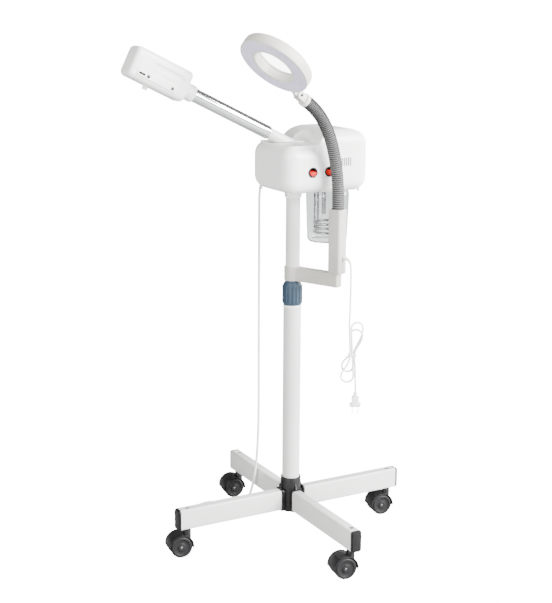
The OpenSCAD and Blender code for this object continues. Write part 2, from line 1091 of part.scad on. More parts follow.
mains_route = [
    [-17, 96, 822], [-17, 108, 819], [-17, 119, 806], [-17, 126, 780], [-17, 127, 740],
    [-17, 127, 640], [-17, 127, 520], [-17, 127, 400], [-17, 127, 290], [-18, 128, 200],
    [-22, 132, 120], [-31, 138, 60], [-47, 144, 24], [-70, 148.5, 7], [-97, 150, 3.2]
];
coil_at = [-120, 180];
coil_r = 30;
plug_at = [-58, 188, 0];

module steam_cord() {
    color("white")
    swept_tube(smooth_route(mains_route, 5), mains_cord, 10);
}

module steam_coil() {
    color("white")
    translate([coil_at[0], coil_at[1], mains_cord / 2 + 0.1])
        for (z = [0, 1, 2])
            translate([0, 0, z * mains_cord * 0.96])
                rotate_extrude()
                    translate([coil_r, 0])
                        circle(r = mains_cord / 2, $fn = 16);
}

module steam_plug() {
    color("white")
    translate(plug_at) {
        translate([0, -10, 0.2])
            cube([26, 20, 15]);
        translate([-14, -5, 3])
            cube([14.2, 10, 9]);
    }
}

module steam_prongs() {
    color("silver")
    translate(plug_at)
        for (y = [-6.35, 6.35])
            translate([26.05, y - 0.75, 4.5])
                cube([17, 1.5, 6.4]);
}

// the hank hangs in a plane turned to this direction
hank_turn = -29.5;
drop_at = [156 * cos(bracket_angle), 156 * sin(bracket_angle), 0];

module at_hank() {
    translate(drop_at)
        rotate([0, 0, hank_turn])
            children();
}

function in_hank(p) = [
    drop_at[0] + p[0] * cos(hank_turn) - p[1] * sin(hank_turn),
    drop_at[1] + p[0] * sin(hank_turn) + p[1] * cos(hank_turn),
    p[2]
];

function on_arm(x, z) = [x * cos(bracket_angle), x * sin(bracket_angle), z];

lamp_route = [
    on_arm(post_distance + 17, 669), on_arm(143, 668.6), on_arm(150, 665),
    on_arm(154.6, 656), on_arm(156, 642), on_arm(156.4, 610), on_arm(156, 570),
    in_hank([0.6, 0, 545]), in_hank([1.4, 0, 533])
];
tail_route = [
    in_hank([10, 0, 402]), in_hank([12.6, 0, 393]), in_hank([14.2, 0, 384]),
    in_hank([14.8, 0, 372.2])
];

module lamp_cord() {
    color("white") {
        swept_tube(smooth_route(lamp_route, 4), lamp_cord, 8);
        swept_tube(smooth_route(tail_route, 3), lamp_cord, 8);
    }
}

module hank_loop(x, low, high, wide, turn) {
    translate([x, low, 0])
        rotate(turn)
            difference() {
                union() {
                    translate([0, wide])
                        circle(r = wide);
                    translate([0, high - low - wide])
                        circle(r = wide);
                    translate([-wide, wide])
                        square([2 * wide, high - low - 2 * wide]);
                }
                translate([0, wide])
                    circle(r = wide - lamp_cord);
                translate([0, high - low - wide])
                    circle(r = wide - lamp_cord);
                translate([lamp_cord - wide, wide])
                    square([2 * wide - 2 * lamp_cord, high - low - 2 * wide]);
            }
}

module lamp_hank() {
    color("white")
    at_hank()
        rotate([90, 0, 0]) {
            translate([0, 0, -lamp_cord / 2])
                linear_extrude(height = lamp_cord) {
                    hank_loop(4, 453, 534, 12, -14);
                    hank_loop(8, 455, 525, 8, 167);
                }
            translate([-1, 450, -lamp_cord / 2 - 1.5])
                linear_extrude(height = lamp_cord + 3)
                    square([15, 9]);
        }
}

module lamp_plug() {
    color("white")
    at_hank()
        translate([14.8, 0, 0]) {
            translate([-8, -5.5, 344])
                cube([16, 11, 17]);
            translate([-12, -7.5, 338])
                cube([24, 15, 6.1]);
            translate([0, 0, 360.9])
                cylinder(r1 = 5, r2 = 3, h = 11);
        }
}

module lamp_prongs() {
    color("silver")
    at_hank()
        translate([14.8, 0, 0])
            for (x = [-6.35, 6.35])
                translate([x - 0.75, -3.2, 321])
                    cube([1.5, 6.4, 16.95]);
}

hub();
leg_right();
leg_back();
leg_left();
leg_front();
leg_caps();
base_screws();
lower_column();
column_collar();
collet();
clamp_nut();
caster_right_hood();
caster_right_pins();
caster_right_wheels();
caster_back_hood();
caster_back_pins();
caster_back_wheels();
caster_left_hood();
caster_left_pins();
caster_left_wheels();
caster_front_hood();
caster_front_pins();
caster_front_wheels();
upper_column();
column_socket();
housing_base();
housing_shell();
housing_screws();
switch_bezels();
rocker_left();
rocker_right();
control_board();
steam_duct();
heater();
jar();
jar_collar();
cord_gland();
arm_turret();
arm_tube();
nozzle_body();
nozzle_cap();
nozzle_lever();
nozzle_screws();
lamp_bracket();
lamp_post();
gooseneck();
lamp_neck();
neck_screw();
ring_shell();
ring_diffuser();
led_board();
ring_lens();
steam_cord();
steam_coil();
steam_plug();
steam_prongs();
lamp_cord();
lamp_hank();
lamp_plug();
lamp_prongs();
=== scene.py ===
import bpy
import json
import math
from mathutils import Matrix, Vector

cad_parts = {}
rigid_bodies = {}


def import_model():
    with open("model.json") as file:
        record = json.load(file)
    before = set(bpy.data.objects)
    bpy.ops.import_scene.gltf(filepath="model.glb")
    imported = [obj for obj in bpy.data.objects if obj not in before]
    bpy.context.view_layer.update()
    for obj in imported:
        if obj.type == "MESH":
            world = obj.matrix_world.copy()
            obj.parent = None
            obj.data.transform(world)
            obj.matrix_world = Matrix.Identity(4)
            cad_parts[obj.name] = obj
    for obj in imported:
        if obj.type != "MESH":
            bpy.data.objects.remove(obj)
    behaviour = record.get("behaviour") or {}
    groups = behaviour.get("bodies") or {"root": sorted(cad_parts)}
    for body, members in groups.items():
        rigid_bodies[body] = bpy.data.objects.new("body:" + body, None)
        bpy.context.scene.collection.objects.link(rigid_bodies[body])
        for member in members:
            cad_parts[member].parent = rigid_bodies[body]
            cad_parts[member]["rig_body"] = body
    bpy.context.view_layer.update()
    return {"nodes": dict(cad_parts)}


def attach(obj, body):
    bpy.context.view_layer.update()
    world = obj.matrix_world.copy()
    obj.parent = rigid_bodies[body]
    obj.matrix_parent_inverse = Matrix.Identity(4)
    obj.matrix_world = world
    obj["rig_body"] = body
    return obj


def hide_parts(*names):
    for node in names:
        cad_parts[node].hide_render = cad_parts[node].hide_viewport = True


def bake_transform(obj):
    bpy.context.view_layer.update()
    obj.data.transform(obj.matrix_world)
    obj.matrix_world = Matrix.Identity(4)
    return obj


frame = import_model()
nodes = frame["nodes"]
mm = 0.001  # sizes below are in mm, the scene is in metres
print("frame loaded:", len(nodes), "CAD nodes")


def hexColour(code, alpha=1.0):
    channels = [int(code[i:i + 2], 16) / 255 for i in (1, 3, 5)]
    return [c / 12.92 if c <= 0.04045 else ((c + 0.055) / 1.055) ** 2.4 for c in channels] + [alpha]


def grey(value):
    return (value, value, value, 1)


def addNode(tree, kind, settings=None, links=None, feeds=None):
    # links: input to (node, its output), feeds: output to (node, its input), stops: the two ends of a ramp
    node = tree.nodes.new(kind)
    for key, value in (settings or {}).items():
        if key == "stops":
            for element, (position, colour) in zip(node.color_ramp.elements, value):
                element.position, element.color = position, colour
        elif isinstance(key, str) and hasattr(node, key):
            setattr(node, key, value)
        else:
            node.inputs[key].default_value = value
    for key, (source, output) in (links or {}).items():
        tree.links.new(source.outputs[output], node.inputs[key])
    for key, (target, entry) in (feeds or {}).items():
        tree.links.new(node.outputs[key], target.inputs[entry])
    return node


def newMaterial(name, **shaderSettings):
    material = bpy.data.materials.new(name)
    material.use_nodes = True
    tree = material.node_tree
    shader = tree.nodes["Principled BSDF"]
    for key, value in shaderSettings.items():
        shader.inputs[key.replace("_", " ")].default_value = value
    place = addNode(tree, "ShaderNodeTexCoord")
    return material, tree, shader, place


def toolStart():
    if bpy.context.object and bpy.context.object.mode != "OBJECT":
        bpy.ops.object.mode_set(mode="OBJECT")
    bpy.ops.object.select_all(action="DESELECT")


def pick(piece):
    toolStart()
    piece.select_set(True)
    bpy.context.view_layer.objects.active = piece


def editAll(piece):
    pick(piece)
    bpy.ops.object.mode_set(mode="EDIT")
    bpy.ops.mesh.select_all(action="SELECT")


def selectEdges(piece, wanted):
    pick(piece)
    points = piece.data.vertices
    for part in (points, piece.data.edges, piece.data.polygons):
        part.foreach_set("select", [False] * len(part))
    for edge in piece.data.edges:
        edge.select = bool(wanted(points[edge.vertices[0]].co, points[edge.vertices[1]].co))
    bpy.ops.object.mode_set(mode="EDIT")
    bpy.ops.mesh.select_mode(type="EDGE")


def bevelEdges(piece, wanted, radius, steps):
    selectEdges(piece, wanted)
    bpy.ops.mesh.bevel(offset=radius * mm, segments=steps, affect="EDGES")
    toolStart()


def addModifier(piece, kind, **settings):
    pick(piece)
    modifier = piece.modifiers.new(kind.lower(), kind)
    for key, value in settings.items():
        setattr(modifier, key, value)
    bpy.ops.object.modifier_apply(modifier=modifier.name)


def cutWith(piece, tool, operation="DIFFERENCE"):
    addModifier(piece, "BOOLEAN", object=tool, operation=operation, solver="EXACT")
    bpy.data.objects.remove(tool)


def boxPiece(name, size, centre, edge=0.0, steps=3):
    toolStart()
    bpy.ops.mesh.primitive_cube_add(size=1, location=[v * mm for v in centre], scale=[v * mm for v in size])
    piece = bpy.context.object
    piece.name = name
    bpy.ops.object.transform_apply(location=True, rotation=True, scale=True)
    if edge:
        editAll(piece)
        bpy.ops.mesh.bevel(offset=edge * mm, segments=steps, affect="EDGES")
        toolStart()
    return piece


def rodPiece(name, radius, length, centre, turn=(0, 0, 0), sides=48):
    toolStart()
    bpy.ops.mesh.primitive_cylinder_add(vertices=sides, radius=radius * mm, depth=length * mm,
                                        location=[v * mm for v in centre],
                                        rotation=[math.radians(a) for a in turn])
    piece = bpy.context.object
    piece.name = name
    bpy.ops.object.transform_apply(location=True, rotation=True, scale=True)
    return piece


def turnedPiece(name, profile, sides=64, closed=False):
    # rings of (radius, height), each one extruded, sized and lifted from the last
    toolStart()
    radius, height = profile[0]
    bpy.ops.mesh.primitive_circle_add(vertices=sides, radius=radius * mm, location=(0, 0, height * mm))
    piece = bpy.context.object
    piece.name = name
    bpy.ops.object.transform_apply(location=True)
    editAll(piece)
    for nextRadius, nextHeight in list(profile[1:]) + ([profile[0]] if closed else []):
        bpy.ops.mesh.extrude_region_move()
        ratio = nextRadius / radius
        bpy.ops.transform.resize(value=(ratio, ratio, 1), center_override=(0, 0, 0))
        bpy.ops.transform.translate(value=(0, 0, (nextHeight - height) * mm))
        radius, height = nextRadius, nextHeight
    bpy.ops.mesh.select_all(action="SELECT")
    bpy.ops.mesh.remove_doubles(threshold=0.000002)
    if not closed:
        bpy.ops.mesh.fill_holes(sides=0)
    bpy.ops.mesh.select_all(action="SELECT")
    bpy.ops.mesh.normals_make_consistent(inside=False)
    toolStart()
    return piece


def putAt(piece, matrix):
    pick(piece)
    piece.matrix_world = matrix
    bpy.ops.object.transform_apply(location=True, rotation=True, scale=True)


def copyOf(piece, name):
    toolStart()
    twin = piece.copy()
    twin.data = piece.data.copy()
    twin.name = name
    bpy.context.scene.collection.objects.link(twin)
    return twin


def joined(name, pieces):
    toolStart()
    for piece in pieces:
        piece.select_set(True)
    bpy.context.view_layer.objects.active = pieces[0]
    bpy.ops.object.join()
    pieces[0].name = name
    return pieces[0]


def tubeAlong(name, route, radius, radii=None, sides=12):
    # route and radius are in metres here, because a path is already scaled
    toolStart()
    curve = bpy.data.curves.new(name, "CURVE")
    curve.dimensions = "3D"
    curve.bevel_depth = radius
    curve.bevel_resolution = max(sides // 4 - 1, 1)
    curve.use_fill_caps = True
    spline = curve.splines.new("POLY")
    spline.points.add(len(route) - 1)
    for i, point in enumerate(route):
        spline.points[i].co = (*point, 1)
        spline.points[i].radius = radii[i] if radii else 1
    piece = bpy.data.objects.new(name, curve)
    bpy.context.scene.collection.objects.link(piece)
    pick(piece)
    bpy.ops.object.convert(target="MESH")
    return bpy.context.object


def smoothRoute(points, steps):
    # the same curve through its points as in the part's source
    path = []
    for i in range(len(points) - 1):
        a, b = points[max(i - 1, 0)], points[i]
        c, d = points[i + 1], points[min(i + 2, len(points) - 1)]
        for s in range(steps):
            t = s / steps
            path.append(0.5 * (2 * b + (c - a) * t + (2 * a - 5 * b + 4 * c - d) * t * t
                               + (3 * b - a - 3 * c + d) * t ** 3))
    return path + [points[-1]]


def routeLength(path):
    return sum((path[i + 1] - path[i]).length for i in range(len(path) - 1))


def finished(piece, body, material, replaced=(), angle=35):
    pick(piece)
    piece.data.materials.clear()
    for each in material if isinstance(material, (list, tuple)) else [material]:
        piece.data.materials.append(each)
    bpy.ops.object.shade_smooth_by_angle(angle=math.radians(angle))
    if body:
        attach(piece, body)
    if replaced:
        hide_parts(*replaced)
    return piece


def roundedCopy(nodeName, width=0.0, steps=2, limit=38):
    # a merged copy of a CAD part, its sharp edges broken by a small radius
    mesh = nodes[nodeName].data.copy()
    piece = bpy.data.objects.new(nodeName + "Rounded", mesh)
    bpy.context.scene.collection.objects.link(piece)
    editAll(piece)
    bpy.ops.mesh.remove_doubles(threshold=0.00001)
    bpy.ops.mesh.dissolve_limited(angle_limit=math.radians(0.8))
    toolStart()
    if width:
        addModifier(piece, "BEVEL", width=width * mm, segments=steps, limit_method="ANGLE",
                    angle_limit=math.radians(limit), use_clamp_overlap=True)
    return piece


def roundedNode(nodeName, width, material, steps=2, limit=38):
    piece = roundedCopy(nodeName, width, steps, limit)
    return finished(piece, nodes[nodeName]["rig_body"], material, [nodeName])


def turnAbout(axis, degrees):
    return Matrix.Rotation(math.radians(degrees), 4, axis)


def moveBy(x, y, z):
    return Matrix.Translation((x * mm, y * mm, z * mm))


# the camera stands at eye height, straight in front after a turn of "side" degrees about the mast
cameraView = dict(distance=2.8, height=1.2139, side=-29.5, yaw=-0.745, pitch=13.29,
                  roll=0.344, focal=1282.3, imageSize=(552, 603), sensor=36)


def placeCamera(view):
    yaw, pitch, roll = (math.radians(view[k]) for k in ("yaw", "pitch", "roll"))
    ahead = Vector((math.sin(yaw) * math.cos(pitch), math.cos(yaw) * math.cos(pitch), -math.sin(pitch)))
    right = Vector((math.cos(yaw), -math.sin(yaw), 0))
    up = right.cross(ahead)
    right, up = (right * math.cos(roll) + up * math.sin(roll),
                 up * math.cos(roll) - right * math.sin(roll))
    place = Matrix.Identity(4)
    for i, axis in enumerate((right, up, -ahead, Vector((0, -view["distance"], view["height"])))):
        place.col[i][:3] = axis
    data = bpy.data.cameras.new("studioCamera")
    data.lens = view["focal"] * view["sensor"] / max(view["imageSize"])
    data.sensor_width = view["sensor"]
    camera = bpy.data.objects.new("studioCamera", data)
    camera.matrix_world = turnAbout("Z", view["side"]) @ place
    bpy.context.scene.collection.objects.link(camera)
    bpy.context.scene.camera = camera


placeCamera(cameraView)


def powderCoat():
    # epoxy powder coat on steel: white, satin, with the soft orange peel of melted powder, 2.4 mm apart
    material, tree, shader, place = newMaterial("epoxyPowderCoatWhite", Roughness=0.34, IOR=1.5)
    peel = addNode(tree, "ShaderNodeTexNoise", {"Scale": 420, "Detail": 2.0, "Roughness": 0.5},
                   {"Vector": (place, "Object")})
    cloud = addNode(tree, "ShaderNodeTexNoise", {"Scale": 9, "Detail": 3.0}, {"Vector": (place, "Object")})
    addNode(tree, "ShaderNodeValToRGB", {"stops": [(0.3, hexColour("#CFCFCD")), (0.7, hexColour("#D7D7D5"))]},
            {"Fac": (cloud, "Fac")}, {"Color": (shader, "Base Color")})
    addNode(tree, "ShaderNodeValToRGB", {"stops": [(0.3, grey(0.30)), (0.7, grey(0.40))]},
            {"Fac": (cloud, "Fac")}, {"Color": (shader, "Roughness")})
    addNode(tree, "ShaderNodeBump", {"Strength": 0.10, "Distance": 0.0003},
            {"Height": (peel, "Fac")}, {"Normal": (shader, "Normal")})
    return material


def mouldedPlastic(name, light, dark, roughness, grain=0.5, strength=0.12, **extra):
    # injection moulded thermoplastic: a fine spark-eroded grain of the size given in mm, under faint clouds
    material, tree, shader, place = newMaterial(name, Roughness=roughness, IOR=1.53, **extra)
    fine = addNode(tree, "ShaderNodeTexNoise", {"Scale": 1 / (grain * mm), "Detail": 3.0, "Roughness": 0.6},
                   {"Vector": (place, "Object")})
    broad = addNode(tree, "ShaderNodeTexNoise", {"Scale": 14, "Detail": 4.0, "Roughness": 0.55},
                    {"Vector": (place, "Object")})
    addNode(tree, "ShaderNodeValToRGB", {"stops": [(0.32, hexColour(dark)), (0.68, hexColour(light))]},
            {"Fac": (broad, "Fac")}, {"Color": (shader, "Base Color")})
    addNode(tree, "ShaderNodeMapRange", {"From Min": 0.3, "From Max": 0.7, "To Min": roughness * 0.85,
                                         "To Max": min(roughness * 1.2, 1)},
            {"Value": (broad, "Fac")}, {"Result": (shader, "Roughness")})
    addNode(tree, "ShaderNodeBump", {"Strength": strength, "Distance": 0.0002},
            {"Height": (fine, "Fac")}, {"Normal": (shader, "Normal")})
    return material


def metal(name, light, dark, roughness, spread=0.05, stretch=(1, 1, 1), lines=900, strength=0.05):
    # plated or brushed metal: the stretch draws fine lines along the piece, 1.1 mm apart at 900
    material, tree, shader, place = newMaterial(name, Metallic=1.0, Roughness=roughness)
    aim = addNode(tree, "ShaderNodeMapping", {"Scale": stretch}, {"Vector": (place, "Object")})
    scratch = addNode(tree, "ShaderNodeTexNoise", {"Scale": lines, "Detail": 3.0}, {"Vector": (aim, "Vector")})
    cloud = addNode(tree, "ShaderNodeTexNoise", {"Scale": 22, "Detail": 3.0}, {"Vector": (place, "Object")})
    addNode(tree, "ShaderNodeValToRGB", {"stops": [(0.35, hexColour(dark)), (0.65, hexColour(light))]},
            {"Fac": (cloud, "Fac")}, {"Color": (shader, "Base Color")})
    addNode(tree, "ShaderNodeMapRange", {"From Min": 0.35, "From Max": 0.65,
                                         "To Min": max(roughness - spread, 0.01), "To Max": roughness + spread},
            {"Value": (scratch, "Fac")}, {"Result": (shader, "Roughness")})
    addNode(tree, "ShaderNodeBump", {"Strength": strength, "Distance": 0.0001},
            {"Height": (scratch, "Fac")}, {"Normal": (shader, "Normal")})
    return material


def clearGlass(name, code, ior, alpha=1.0):
    # blown borosilicate or ground lens glass, with faint waves and dust
    material, tree, shader, place = newMaterial(name, Roughness=0.02, IOR=ior, Alpha=alpha)
    shader.inputs["Transmission Weight"].default_value = 1.0
    cloud = addNode(tree, "ShaderNodeTexNoise", {"Scale": 16, "Detail": 2.0}, {"Vector": (place, "Object")})
    addNode(tree, "ShaderNodeValToRGB", {"stops": [(0.3, hexColour(code)), (0.7, hexColour("#FCFEFE"))]},
            {"Fac": (cloud, "Fac")}, {"Color": (shader, "Base Color")})
    addNode(tree, "ShaderNodeMapRange", {"From Min": 0.4, "From Max": 0.8, "To Min": 0.01, "To Max": 0.05},
            {"Value": (cloud, "Fac")}, {"Result": (shader, "Roughness")})
    addNode(tree, "ShaderNodeBump", {"Strength": 0.06, "Distance": 0.001},
            {"Height": (cloud, "Fac")}, {"Normal": (shader, "Normal")})
    return material


def opalAcrylic():
    # opal acrylic over the lamp's lights: lavender, frosted, a little glow from behind
    material, tree, shader, place = newMaterial("opalAcrylicLavender", Roughness=0.45, IOR=1.49)
    shader.inputs["Subsurface Weight"].default_value = 0.3
    shader.inputs["Subsurface Radius"].default_value = (0.004, 0.004, 0.005)
    shader.inputs["Emission Strength"].default_value = 0.12
    shader.inputs["Emission Color"].default_value = hexColour("#E6E2F6")
    cloud = addNode(tree, "ShaderNodeTexNoise", {"Scale": 30, "Detail": 3.0}, {"Vector": (place, "Object")})
    fine = addNode(tree, "ShaderNodeTexNoise", {"Scale": 1600, "Detail": 2.0}, {"Vector": (place, "Object")})
    addNode(tree, "ShaderNodeValToRGB", {"stops": [(0.3, hexColour("#BDBACF")), (0.7, hexColour("#C6C4D8"))]},
            {"Fac": (cloud, "Fac")}, {"Color": (shader, "Base Color")})
    addNode(tree, "ShaderNodeBump", {"Strength": 0.1, "Distance": 0.0002},
            {"Height": (fine, "Fac")}, {"Normal": (shader, "Normal")})
    return material


finish = dict(
    enamel=powderCoat(),
    # ABS mouldings: glossy on the head, satin on the lamp, hardly any grain
    shell=mouldedPlastic("absGlossWhite", "#F6F6F4", "#F0F0EE", 0.30, 0.9, 0.05),
    lamp=mouldedPlastic("absSatinWarmGrey", "#B8B6AE", "#AEACA4", 0.48, 0.7, 0.16),
    ring=mouldedPlastic("absSatinIvory", "#CFCDC5", "#C6C4BC", 0.42, 0.7, 0.10),
    # filled nylon and wheel rubber: near black and dull, with the coarsest grain
    black=mouldedPlastic("glassFilledNylonBlack", "#111113", "#0B0B0C", 0.42, 0.8, 0.25, Specular_IOR_Level=0.3),
    tread=mouldedPlastic("polyurethaneBlack", "#131315", "#0D0D0E", 0.55, 1.1, 0.35, Specular_IOR_Level=0.3),
    nut=mouldedPlastic("nylonSlateBlue", "#304252", "#273744", 0.5, 0.8, 0.20, Specular_IOR_Level=0.3),
    # matt label film, its ink, and the rockers' clear-toned red
    panel=mouldedPlastic("vinylFilmMattWhite", "#FAFAFA", "#F5F5F6", 0.5, 0.8, 0.05),
    print=mouldedPlastic("screenPrintGreyViolet", "#B9B6C6", "#A9A6B6", 0.5, 0.6, 0.05),
    red=mouldedPlastic("polycarbonateRed", "#D01A14", "#B0100C", 0.42, 0.9, 0.05, Specular_IOR_Level=0.25),
    # soft PVC and silicone: extruded, so dull and slightly uneven
    cord=mouldedPlastic("flexiblePvcWhite", "#F1F1EF", "#E6E6E3", 0.46, 0.6, 0.14),
    silicone=mouldedPlastic("siliconeRubberClear", "#D8D6CE", "#C8C5BB", 0.55, 0.7, 0.2),
    board=mouldedPlastic("epoxyGlassBoardGreen", "#1F6B3A", "#185530", 0.5, 1.0, 0.25),
    # painted steel strip of the hose, and its shaded grooves
    hose=mouldedPlastic("paintedSteelHoseGrey", "#7A7A79", "#6C6C6C", 0.5, 0.5, 0.1),
    groove=mouldedPlastic("paintedSteelShadowGrey", "#343434", "#2A2A2A", 0.6, 0.5, 0.1, Specular_IOR_Level=0.2),
    # chrome mirrors the room, polished steel is streaked, zinc and blackened steel are dull
    chrome=metal("chromePlatedSteel", "#E4E5E7", "#D4D6D9", 0.07, 0.03, (1, 1, 1), 60, 0.01),
    steel=metal("stainlessSteelPolished", "#8E8E8E", "#747474", 0.22, 0.06, (1, 1, 0.1)),
    zinc=metal("zincPlatedSteel", "#B9BABC", "#9A9C9F", 0.32, 0.10),
    dark=metal("blackenedSteel", "#4A4A4C", "#323234", 0.38, 0.10),
    blade=metal("nickelPlatedBrass", "#CFCBBE", "#B5B0A0", 0.22, 0.06),
    jar=clearGlass("borosilicateGlass", "#F2F8F8", 1.47),
    lens=clearGlass("opticalGlass", "#F0F6FA", 1.52, 0.3),
    opal=opalAcrylic(),
)
print("finishes ready:", len(finish))

# the CAD parts that stay as they are
carried = dict(black="collet", board="control_board", silicone="steam_duct", blade="steam_prongs lamp_prongs")
for key, names in carried.items():
    for name in names.split():
        nodes[name].data.materials.clear()
        nodes[name].data.materials.append(finish[key])

steamLead = dict(diameter=6 * mm, coilCentre=(-120, 180), coilRadius=30, coilTurn=930, pitch=5.9, floorHeight=3.2,
                 route=[(-17, 96, 822), (-17, 108, 819), (-17, 119, 806), (-17, 126, 780), (-17, 127, 740),
                        (-17, 127, 640), (-17, 127, 520), (-17, 127, 400), (-17, 127, 290), (-18, 128, 200),
                        (-22, 132, 120), (-31, 138, 60), (-47, 144, 24), (-70, 148.5, 7), (-97, 150, 3.2)],
                 tail=[(-95, 199.6, 16.2), (-86, 193.4, 11.5), (-79, 189.4, 8.6), (-71, 188, 7.6),
                       (-60, 188, 7.6)])


def makeSteamLead(facts):
    route = [Vector(p) * mm for p in facts["route"]]
    cx, cy = facts["coilCentre"]
    for step in range(0, facts["coilTurn"] + 1, 15):
        angle = math.radians(-90 - step)
        route.append(Vector((cx + facts["coilRadius"] * math.cos(angle),
                             cy + facts["coilRadius"] * math.sin(angle),
                             facts["floorHeight"] + facts["pitch"] * step / 360)) * mm)
    route += [Vector(p) * mm for p in facts["tail"]]
    path = smoothRoute(route, 4)
    lead = tubeAlong("steamLead", path, facts["diameter"] / 2, sides=12)
    finished(lead, None, finish["cord"], ["steam_cord", "steam_coil"])
    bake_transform(lead)
    return lead, path


lampLead = dict(diameter=4.2 * mm, hankTurn=-29.5, armAngle=-65.5, drop=156, tieSize=(19, 9.8, 6), tieOut=6,
                tieHeight=455,
                arm=[(136, 669), (143, 668.6), (150, 665), (154.6, 656), (156, 642), (156.4, 610), (156, 570)],
                hank=[(-0.4, -1, 545), (-1, -2, 532), (-1, -2.6, 517), (-0.2, -2.5, 500), (0.8, -2.3, 480),
                      (1.3, -2.2, 462), (0.4, -2.3, 448), (-4.5, -2.4, 434), (-13, -2.4, 421), (-17.9, -2.4, 408),
                      (-14, -2.4, 398.4), (-4.3, -2.4, 394.4), (5.4, -2.4, 398.4), (9.3, -2.4, 408),
                      (8.4, -2.4, 424), (7, -2.3, 440), (6, -2.2, 456), (5.4, -1.6, 474), (4.2, -1, 495),
                      (3.5, -0.8, 515.8), (7.1, -0.4, 524.9), (16, 0.6, 528.6), (24.9, 1.6, 524.9),
                      (28.6, 2.2, 515.8), (26.4, 2.4, 500), (19, 2.4, 482), (11.8, 2.3, 468), (8.6, 2.3, 454),
                      (9.2, 2.4, 441), (8.8, 2.4, 429.5), (5.1, 2.4, 420.6), (-3.8, 2.4, 416.9),
                      (-12.7, 2.4, 420.6), (-16.4, 2.4, 429.5), (-12.8, 2.4, 440), (-5.6, 2.4, 448),
                      (0.6, 2.4, 456), (3.4, 2.8, 468), (3.2, 3.4, 482), (2.4, 3.6, 500), (6.1, 3.2, 508.9),
                      (15, 1.2, 512.6), (23.9, -1.2, 508.9), (27.6, -2.2, 500), (24.4, -2.4, 487),
                      (17.4, -2.4, 474), (12.4, -2.3, 464), (10.9, -2.2, 453), (11.8, -2, 440), (12.9, -1.5, 424),
                      (13.6, -0.8, 405), (14.4, -0.2, 388), (14.8, 0, 377), (14.8, 0, 366)])


def makeLampLead(facts):
    arm, turn = math.radians(facts["armAngle"]), math.radians(facts["hankTurn"])
    across = Vector((math.cos(turn), math.sin(turn), 0))
    away = Vector((-math.sin(turn), math.cos(turn), 0))
    out = Vector((math.cos(arm), math.sin(arm), 0))
    route = [(out * x + Vector((0, 0, z))) * mm for x, z in facts["arm"]]
    route += [(out * facts["drop"] + across * u + away * v + Vector((0, 0, z))) * mm
              for u, v, z in facts["hank"]]
    path = smoothRoute(route, 5)
    lead = tubeAlong("lampLead", path, facts["diameter"] / 2, sides=12)
    finished(lead, "bracket", finish["cord"], ["lamp_cord", "lamp_hank"])
    return lead, path


sleeveRib = dict(spacing=0.8, waist=0.86, every=4, smoothShare=0.18)


def makeRelief(name, path, length, big, small, body, replaced=()):
    # a tapered, ribbed sleeve that follows the first part of its cord
    along, points, radii = 0.0, [path[0]], [big * mm]
    fine = []
    for i in range(len(path) - 1):
        fine += [path[i].lerp(path[i + 1], k / 8) for k in range(8)]
    for i in range(1, len(fine)):
        along += (fine[i] - fine[i - 1]).length
        if along > length * mm:
            break
        if (fine[i] - points[-1]).length < sleeveRib["spacing"] * mm:
            continue
        share = along / (length * mm)
        waist = len(points) % sleeveRib["every"] in (2, 3) and share > sleeveRib["smoothShare"]
        points.append(fine[i])
        radii.append((big + (small - big) * share) * (sleeveRib["waist"] if waist else 1.0) * mm)
    sleeve = tubeAlong(name, points, 1.0, radii, 20)
    return finished(sleeve, body, finish["cord"], replaced, 60)


def makeHankTie(facts):
    arm, turn = math.radians(facts["armAngle"]), math.radians(facts["hankTurn"])
    spot = Vector((facts["drop"] * math.cos(arm) + facts["tieOut"] * math.cos(turn),
                   facts["drop"] * math.sin(arm) + facts["tieOut"] * math.sin(turn), facts["tieHeight"]))
    band = boxPiece("hankTie", facts["tieSize"], (0, 0, 0), min(facts["tieSize"]) * 0.3, 4)
    putAt(band, moveBy(*spot) @ turnAbout("Z", facts["hankTurn"]))
    return finished(band, "bracket", finish["cord"])


steamCordPiece, steamPath = makeSteamLead(steamLead)
lampCordPiece, lampPath = makeLampLead(lampLead)
print("cords:", round(routeLength(steamPath), 3), round(routeLength(lampPath), 3))
steamPlug = roundedNode("steam_plug", 2.2, finish["cord"], 3)
lampPlug = roundedNode("lamp_plug", 1.6, finish["cord"], 3)
hankTie = makeHankTie(lampLead)
makeRelief("steamRelief", steamPath, 24, 6.6, 3.9, "mast", ["cord_gland"])
makeRelief("lampRelief", lampPath, 22, 4.4, 2.7, "bracket")

# places and sizes in metres, power in watts
studio = dict(sky=0.37, backdrop=16, throughGlass=0.09, floor=24, aim=(0, 0, 0.7),
              lights=[("keyLight", (1.9, -2.9, 2.2), 2.4, 900), ("fillLight", (-3.2, -1.8, 1.7), 2.2, 210),
                      ("rimLight", (3.2, -0.4, 1.4), 1.2, 150)])


def backdropPower(tree, facts, dim, target, entry):
    # paper and backdrop are burnt out to white where the camera sees them, less so through glass
    ray = addNode(tree, "ShaderNodeLightPath")
    seen = addNode(tree, "ShaderNodeMath", {"operation": "MULTIPLY_ADD", 1: facts["throughGlass"]},
                   {0: (ray, "Is Transmission Ray"), 2: (ray, "Is Camera Ray")})
    addNode(tree, "ShaderNodeMapRange", {"To Min": dim, "To Max": facts["backdrop"]},
            {"Value": (seen, "Value")}, {"Result": (target, entry)})


